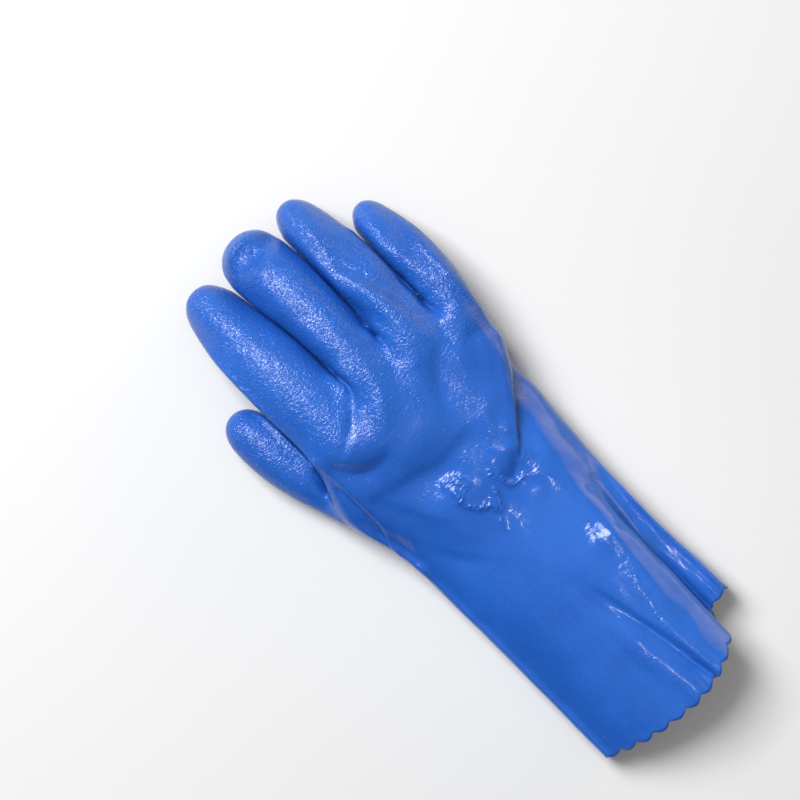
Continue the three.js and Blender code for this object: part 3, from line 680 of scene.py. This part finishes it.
for _ in range(TOOTH_ROWS):
    next_row = []
    for vert in inner_row:
        above = [edge.other_vert(vert) for edge in vert.link_edges if edge.other_vert(vert) not in passed]
        next_row.append(above[0] if above else None)
    if None in next_row:
        break
    for vert, above in zip(inner_row, next_row):
        heights[above.index] = heights[vert.index]
    passed.update(next_row)
    inner_row = next_row
for vert in rim.verts:
    if vert.index in heights:
        away = (vert.co.y - rim_at(vert.co.x)) / MM
        fade = np.clip(1 - away / TOOTH_BAND, 0, 1)
        vert.co.y -= (TOOTH_DEEP * (heights[vert.index] - TOOTH_MIDDLE) * fade) * MM
rim.to_mesh(glove_mesh)
rim.free()
glove_mesh.update()

# The wall. The skin is 1.3 mm thick everywhere, and its inside is duller.
WALL = 1.3 * MM
wall = glove.modifiers.new("wall", "SOLIDIFY")
wall.thickness = WALL
wall.offset = -1
wall.material_offset = 1
for face in glove_mesh.polygons:
    face.use_smooth = True


# Plain blue PVC. On the hand the skin is finely wrinkled, which breaks up its gloss. The cuff is smooth and
# shiny. The crumples are beaded. The blue is a little cloudy, as pigment is in a thick dip.
class Field:
    """A socket of a material that can be used in sums and products like a number."""

    def __init__(self, material, socket):
        self.material = material
        self.socket = socket

    def math(self, operation, *values):
        inputs = dict(enumerate((self, *values)))
        return make_node(self.material, "ShaderNodeMath", 0, {"operation": operation}, inputs)

    def __add__(self, other):
        return self.math("ADD", other)

    def __sub__(self, other):
        return self.math("SUBTRACT", other)

    def __mul__(self, other):
        return self.math("MULTIPLY", other)

    def __rsub__(self, other):
        return (self * -1) + other

    __radd__ = __add__
    __rmul__ = __mul__

    def between(self, low, high):
        """From 0 at the low value to 1 at the high one, with a soft start and end."""
        inputs = {"Value": self, "From Min": low, "From Max": high}
        return make_node(self.material, "ShaderNodeMapRange", 0, {"interpolation_type": "SMOOTHSTEP"}, inputs)


def make_node(material, kind, output=0, settings=None, values=None):
    """A node of a material. Its settings are made first, then its sockets are filled. Gives one output."""
    tree = material.node_tree
    made = tree.nodes.new(kind)
    for name, setting in (settings or {}).items():
        setattr(made, name, setting)
    for name, value in (values or {}).items():
        if isinstance(value, Field):
            tree.links.new(value.socket, made.inputs[name])
        else:
            made.inputs[name].default_value = value
    return Field(material, made.outputs[output])


def linear(red, green, blue):
    """A colour as it is seen on screen, as the amounts of light that a shader takes."""
    return (*(((c / 255 + 0.055) / 1.055) ** 2.4 for c in (red, green, blue)), 1)


COLOUR_MIX = {"first": 6, "second": 7, "mixed": 2}  # which of the mix node's sockets are those for colours


def mix_colour(material, share, first, second):
    values = {"Factor": share, COLOUR_MIX["first"]: first, COLOUR_MIX["second"]: second}
    return make_node(material, "ShaderNodeMix", COLOUR_MIX["mixed"], {"data_type": "RGBA"}, values)


def stretch(material, place, scale):
    """Places for a pattern that is drawn out across the glove."""
    values = {"Vector": place, "Scale": scale}
    return make_node(material, "ShaderNodeMapping", 0, {"vector_type": "POINT"}, values)


def new_material(name):
    material = bpy.data.materials.new(name)
    material.use_nodes = True
    return material, material.node_tree.nodes["Principled BSDF"]


def feed(material, shader, name, field):
    material.node_tree.links.new(field.socket, shader.inputs[name])


def grain(material, place, size, detail, distortion=0):
    """Noise whose features are about size metres across, from 0 to 1."""
    values = {"Vector": place, "Scale": 1 / size, "Detail": detail, "Distortion": distortion}
    return make_node(material, "ShaderNodeTexNoise", "Fac", None, values)


pvc, pvc_shader = new_material("pvc_skin")
place = make_node(pvc, "ShaderNodeTexCoord", "Object")
along_glove = make_node(pvc, "ShaderNodeSeparateXYZ", "Y", None, {"Vector": place})

# Wrinkled hand, smooth cuff: where the one turns into the other is ragged.
HAND = {"begins": -22 * MM, "full": 12 * MM, "ragged": 60 * MM}
FINGERS = {"begins": 28 * MM, "full": 80 * MM, "ragged": 40 * MM}
RELIEF = {"hand": 0.35, "fingers": 0.8, "cuff": 0.2, "lumps": 0.35, "beads": 2.4}
RELIEF_DEEP = 0.55 * MM
ragged = grain(pvc, place, size=16 * MM, detail=3)
on_hand = (along_glove + (ragged - 0.5) * HAND["ragged"]).between(HAND["begins"], HAND["full"])
on_fingers = (along_glove + (ragged - 0.5) * FINGERS["ragged"]).between(FINGERS["begins"], FINGERS["full"])
wrinkles = grain(pvc, stretch(pvc, place, (0.7, 1, 1)), size=1.1 * MM, detail=1, distortion=0.8)
cuff_waves = grain(pvc, place, size=4 * MM, detail=3, distortion=0.8)
soft_lumps = grain(pvc, place, size=8 * MM, detail=2)
beads = grain(pvc, stretch(pvc, place, (0.45, 1, 1)), size=1.6 * MM, detail=1, distortion=0.5)
crumpled_here = make_node(pvc, "ShaderNodeAttribute", "Fac", {"attribute_name": "crumpled"})
relief = on_hand * wrinkles * (on_fingers * RELIEF["fingers"] + RELIEF["hand"])
relief = relief + (1 - on_hand) * cuff_waves * RELIEF["cuff"]
relief = relief + soft_lumps * RELIEF["lumps"] + crumpled_here * beads * RELIEF["beads"]
bump = make_node(pvc, "ShaderNodeBump", 0, None, {"Strength": 1, "Distance": RELIEF_DEEP, "Height": relief})
feed(pvc, pvc_shader, "Normal", bump)

# The blue: two near shades in soft clouds and fine specks, with a gloss that varies with the clouds.
DEEP_BLUE = linear(28, 81, 168)
LIGHT_BLUE = linear(36, 93, 183)
CLOUD_SHARE = 0.7
CLOUDS_TURN = (0.3, 0.7)  # the noise at which the deep blue begins to turn and is all light
GLOSS = {"roughness": 0.15, "varies": 0.06}
PVC_IOR = 1.44
cloudy = grain(pvc, place, size=45 * MM, detail=3)
speckled = grain(pvc, place, size=1.6 * MM, detail=2)
clouds = (cloudy * CLOUD_SHARE + speckled * (1 - CLOUD_SHARE)).between(*CLOUDS_TURN)
feed(pvc, pvc_shader, "Base Color", mix_colour(pvc, clouds, DEEP_BLUE, LIGHT_BLUE))
feed(pvc, pvc_shader, "Roughness", GLOSS["roughness"] + (cloudy - 0.5) * GLOSS["varies"])
pvc_shader.inputs["IOR"].default_value = PVC_IOR

# The inside is the same PVC, but dull and a little chalky.
INSIDE_DEEP = linear(46, 93, 180)
INSIDE_LIGHT = linear(64, 113, 200)
CHALK_TURNS = (0.35, 0.7)
CHALK = {"roughness": 0.5, "varies": 0.25}
inside, inside_shader = new_material("pvc_inside")
inside_place = make_node(inside, "ShaderNodeTexCoord", "Object")
chalky = grain(inside, inside_place, size=9 * MM, detail=4)
inside_colour = mix_colour(inside, chalky.between(*CHALK_TURNS), INSIDE_DEEP, INSIDE_LIGHT)
feed(inside, inside_shader, "Base Color", inside_colour)
feed(inside, inside_shader, "Roughness", CHALK["roughness"] + chalky * CHALK["varies"])
glove_mesh.materials.clear()
glove_mesh.materials.append(pvc)
glove_mesh.materials.append(inside)

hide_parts("glove_shell")
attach(glove, "root")

# The surface that the glove lies on is a plain pale table top, a hair's breadth below the glove.
TABLE_TOP = {"half_width": 3, "below": 0.2 * MM, "colour": (0.62, 0.62, 0.625, 1), "roughness": 0.6}
floor_mesh = bpy.data.meshes.new("table_top")
table = bmesh.new()
bmesh.ops.create_grid(table, x_segments=1, y_segments=1, size=TABLE_TOP["half_width"])
bmesh.ops.translate(table, vec=(0, 0, -TABLE_TOP["below"]), verts=table.verts)
table.to_mesh(floor_mesh)
table.free()
table_top = bpy.data.objects.new("table_top", floor_mesh)
bpy.context.scene.collection.objects.link(table_top)
top_paint, top_shader = new_material("table_paint")
top_shader.inputs["Base Color"].default_value = TABLE_TOP["colour"]
top_shader.inputs["Roughness"].default_value = TABLE_TOP["roughness"]
floor_mesh.materials.append(top_paint)

# Soft studio light: one big soft box over the fingertips, a narrow one overhead that draws the thin shine on
# the cuff, a warm dim one low on the outer side, and a faint room that is paler overhead than at its walls.
ROOM = {"colour": (0.9, 0.95, 1, 1), "walls": 0.06, "ceiling": 0.5, "ceiling_begins": 0.3}
SOFT_BOXES = {
    "key_box": {
        "at": (-0.1, 1.12, 1.66), "towards": (0, 0, 0), "size": (0.9, 1.05),
        "power": 56, "spread": 180, "colour": (1, 1, 1),
    },
    "cuff_strip": {
        "at": (0.0425, -0.28, 1.8), "towards": (0.025, -0.11, 0.04), "size": (0.1, 0.22),
        "power": 0.011, "spread": 10, "colour": (1, 1, 1),
    },
    "outer_box": {
        "at": (1.3, -0.1, 0.45), "towards": (0, -0.1, 0.45), "size": (1.6, 0.9),
        "power": 2.9, "spread": 76, "colour": (1, 0.7, 0.32),
    },
}
room = bpy.data.worlds.new("room")
room.use_nodes = True
looking = make_node(room, "ShaderNodeTexCoord", "Generated")
upward = make_node(room, "ShaderNodeSeparateXYZ", "Z", None, {"Vector": looking})
ceiling = upward.between(ROOM["ceiling_begins"], 1)
room_light = room.node_tree.nodes["Background"]
room_light.inputs["Color"].default_value = ROOM["colour"]
feed(room, room_light, "Strength", ceiling * (ROOM["ceiling"] - ROOM["walls"]) + ROOM["walls"])
bpy.context.scene.world = room
for name, box in SOFT_BOXES.items():
    lamp = bpy.data.lights.new(name, "AREA")
    lamp.shape = "RECTANGLE"
    lamp.size, lamp.size_y = box["size"]
    lamp.energy = box["power"]
    lamp.color = box["colour"]
    lamp.spread = np.radians(box["spread"])
    soft_box = bpy.data.objects.new(name, lamp)
    soft_box.location = box["at"]
    soft_box.rotation_euler = (Vector(box["towards"]) - Vector(box["at"])).to_track_quat("-Z", "Y").to_euler()
    bpy.context.scene.collection.objects.link(soft_box)

# The camera looks straight down, turned so that the fingers point to the upper left.
SEEN_WIDTH = 0.4  # metres across the picture at the glove's middle height
LOOK_AT = Vector((0.005, 0.0463, 0.022))
CAMERA_HEIGHT = 1.6
CAMERA_TURN = np.radians(-45)
SENSOR_WIDTH = 36
lens = bpy.data.cameras.new("camera")
lens.sensor_width = SENSOR_WIDTH
lens.lens = SENSOR_WIDTH * (CAMERA_HEIGHT - LOOK_AT.z) / SEEN_WIDTH
camera = bpy.data.objects.new("camera", lens)
camera.location = (LOOK_AT.x, LOOK_AT.y, CAMERA_HEIGHT)
camera.rotation_euler = (0, 0, CAMERA_TURN)
bpy.context.scene.collection.objects.link(camera)
bpy.context.scene.camera = camera
bpy.context.scene.view_settings.view_transform = "Standard"
